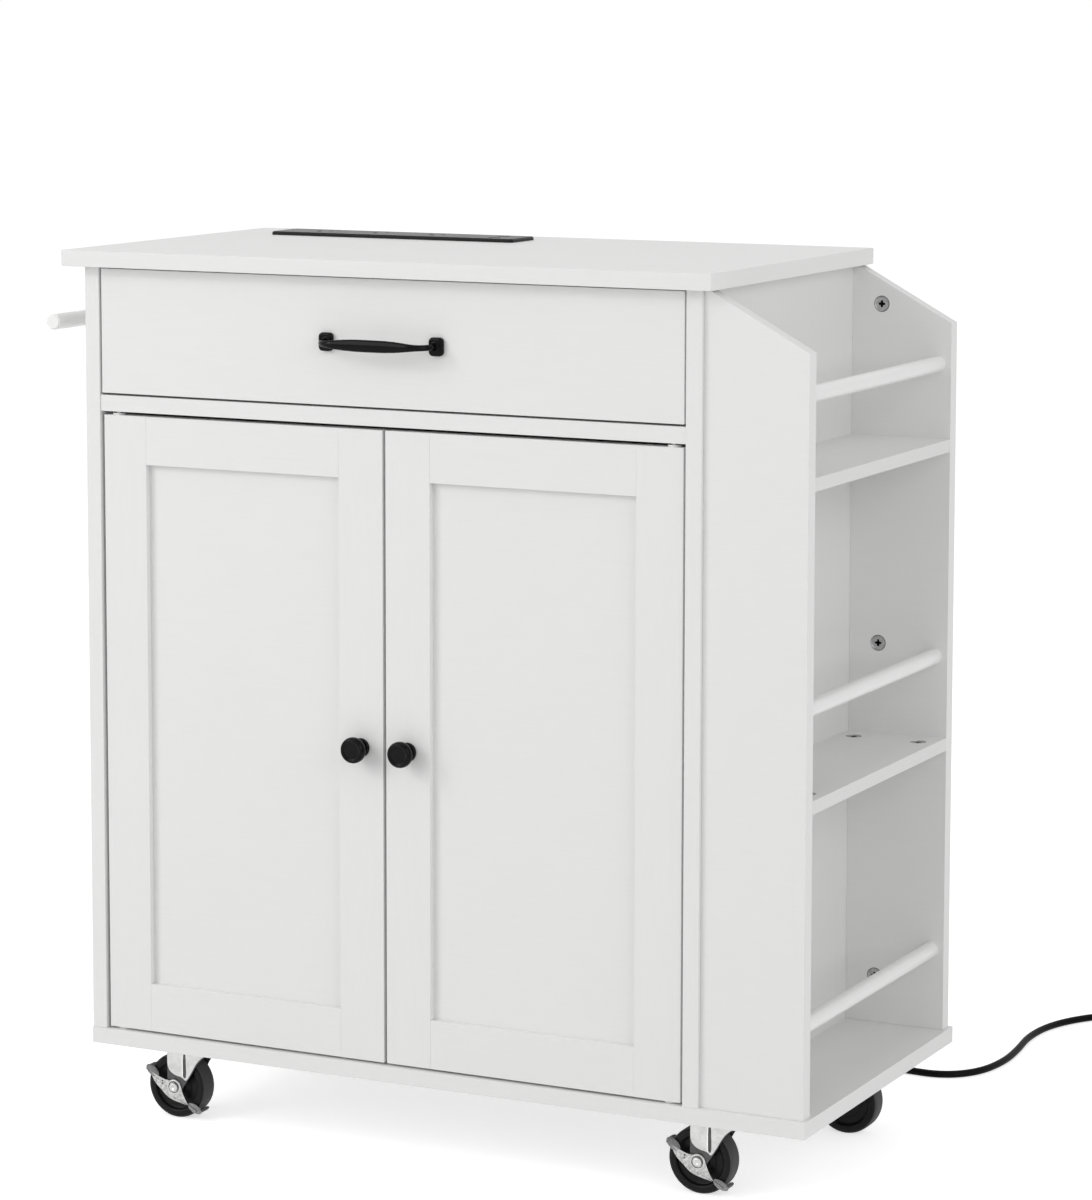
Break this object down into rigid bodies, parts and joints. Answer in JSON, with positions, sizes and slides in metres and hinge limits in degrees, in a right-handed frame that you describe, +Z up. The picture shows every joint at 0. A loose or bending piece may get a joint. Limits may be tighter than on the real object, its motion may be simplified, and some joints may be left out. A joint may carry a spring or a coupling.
{
  "type": "kitchen trolley",
  "caption": "Kitchen trolley on casters with a drawer over two framed doors, an open end rack, a towel rail and a power strip in its top.",
  "frame": {"origin": "on the floor, midway along the width and the depth of the trolley without its mains cord", "axes": "+Z up, the drawer and doors face -Y, the rack is at +X and the towel rail at -X"},
  "size_m": [0.9243, 0.8489, 0.8345],
  "materials": {
    "white_board": "white melamine-faced board with a faint wood grain",
    "white_rod": "smooth white lacquer",
    "back_sheet": "white hardboard",
    "cam_metal": "dull grey die-cast",
    "black_metal": "satin black",
    "black_plastic": "fine matt black",
    "cord_rubber": "satin black cord jacket",
    "blade_metal": "nickel-plated",
    "zinc_steel": "zinc-plated sheet steel",
    "white_plastic": "plain nylon",
    "wheel_plastic": "black moulded wheel with a satin tread"
  },
  "bodies": {
    "cabinet": {"base_board": "white_board", "left_side_panel": "white_board", "right_side_panel": "white_board", "divider_board": "white_board", "top_board": "white_board", "back_panel": "back_sheet", "cupboard_shelf": "white_board", "shelf_pins": "zinc_steel", "rack_front_panel": "white_board", "rack_back_panel": "white_board", "rack_upper_shelf": "white_board", "rack_middle_shelf": "white_board", "rack_upper_rail": "white_rod", "rack_middle_rail": "white_rod", "rack_lower_rail": "white_rod", "cam_fittings": "cam_metal", "towel_rail": "white_rod", "towel_front_arm": "white_board", "towel_rear_arm": "white_board", "power_strip_cover": "black_plastic", "power_strip_body": "black_plastic", "cord_strain_relief": "black_plastic", "power_cord": "cord_rubber", "cord_coil": "cord_rubber", "mains_plug": "black_plastic", "mains_plug_pins": "blade_metal", "left_fixed_runner": "zinc_steel", "right_fixed_runner": "zinc_steel", "door_pivot_pins": "zinc_steel", "caster_plates": "zinc_steel"},
    "drawer": {"drawer_front": "white_board", "drawer_left_side": "white_board", "drawer_right_side": "white_board", "drawer_back": "white_board", "drawer_bottom": "white_board", "left_drawer_runner": "zinc_steel", "right_drawer_runner": "zinc_steel", "drawer_pull": "black_metal"},
    "left_door": {"left_door_stiles": "white_board", "left_door_rails": "white_board", "left_door_panel": "white_board", "left_door_knob": "black_metal", "left_door_bushings": "white_plastic"},
    "right_door": {"right_door_stiles": "white_board", "right_door_rails": "white_board", "right_door_panel": "white_board", "right_door_knob": "black_metal", "right_door_bushings": "white_plastic"},
    "front_left_swivel": {"front_left_fork": "zinc_steel"},
    "front_left_roller": {"front_left_wheel": "wheel_plastic"},
    "front_left_brake": {"front_left_lever": "zinc_steel"},
    "front_right_swivel": {"front_right_fork": "zinc_steel"},
    "front_right_roller": {"front_right_wheel": "wheel_plastic"},
    "front_right_brake": {"front_right_lever": "zinc_steel"},
    "rear_left_swivel": {"rear_left_fork": "zinc_steel"},
    "rear_left_roller": {"rear_left_wheel": "wheel_plastic"},
    "rear_right_swivel": {"rear_right_fork": "zinc_steel"},
    "rear_right_roller": {"rear_right_wheel": "wheel_plastic"}
  },
  "joints": [
    {"name": "drawer_slide", "type": "slide", "parent": "cabinet", "child": "drawer", "axis": [0, -1, 0], "range_m": [0, 0.18]},
    {"name": "left_door_hinge", "type": "hinge", "parent": "cabinet", "child": "left_door", "pos_m": [-0.30425, -0.15825, 0.3875], "axis": [0, 0, -1], "range_deg": [0, 105]},
    {"name": "right_door_hinge", "type": "hinge", "parent": "cabinet", "child": "right_door", "pos_m": [0.26175, -0.15825, 0.3875], "axis": [0, 0, 1], "range_deg": [0, 105]},
    {"name": "front_left_swivel_turn", "type": "hinge", "parent": "cabinet", "child": "front_left_swivel", "pos_m": [-0.25325, -0.10475, 0.07], "axis": [0, 0, 1], "continuous": true},
    {"name": "front_left_wheel_spin", "type": "hinge", "parent": "front_left_swivel", "child": "front_left_roller", "pos_m": [-0.27575, -0.10475, 0.031], "axis": [0, 1, 0], "continuous": true},
    {"name": "front_left_brake_rock", "type": "hinge", "parent": "front_left_swivel", "child": "front_left_brake", "pos_m": [-0.27575, -0.10475, 0.031], "axis": [0, -1, 0], "range_deg": [0, 15]},
    {"name": "front_right_swivel_turn", "type": "hinge", "parent": "cabinet", "child": "front_right_swivel", "pos_m": [0.29275, -0.10475, 0.07], "axis": [0, 0, 1], "continuous": true},
    {"name": "front_right_wheel_spin", "type": "hinge", "parent": "front_right_swivel", "child": "front_right_roller", "pos_m": [0.27025, -0.10475, 0.031], "axis": [0, 1, 0], "continuous": true},
    {"name": "front_right_brake_rock", "type": "hinge", "parent": "front_right_swivel", "child": "front_right_brake", "pos_m": [0.27025, -0.10475, 0.031], "axis": [0, -1, 0], "range_deg": [0, 15]},
    {"name": "rear_left_swivel_turn", "type": "hinge", "parent": "cabinet", "child": "rear_left_swivel", "pos_m": [-0.25325, 0.13025, 0.07], "axis": [0, 0, 1], "continuous": true},
    {"name": "rear_left_wheel_spin", "type": "hinge", "parent": "rear_left_swivel", "child": "rear_left_roller", "pos_m": [-0.23075, 0.13025, 0.031], "axis": [0, 1, 0], "continuous": true},
    {"name": "rear_right_swivel_turn", "type": "hinge", "parent": "cabinet", "child": "rear_right_swivel", "pos_m": [0.29275, 0.13025, 0.07], "axis": [0, 0, 1], "continuous": true},
    {"name": "rear_right_wheel_spin", "type": "hinge", "parent": "rear_right_swivel", "child": "rear_right_roller", "pos_m": [0.31525, 0.13025, 0.031], "axis": [0, 1, 0], "continuous": true}
  ]
}
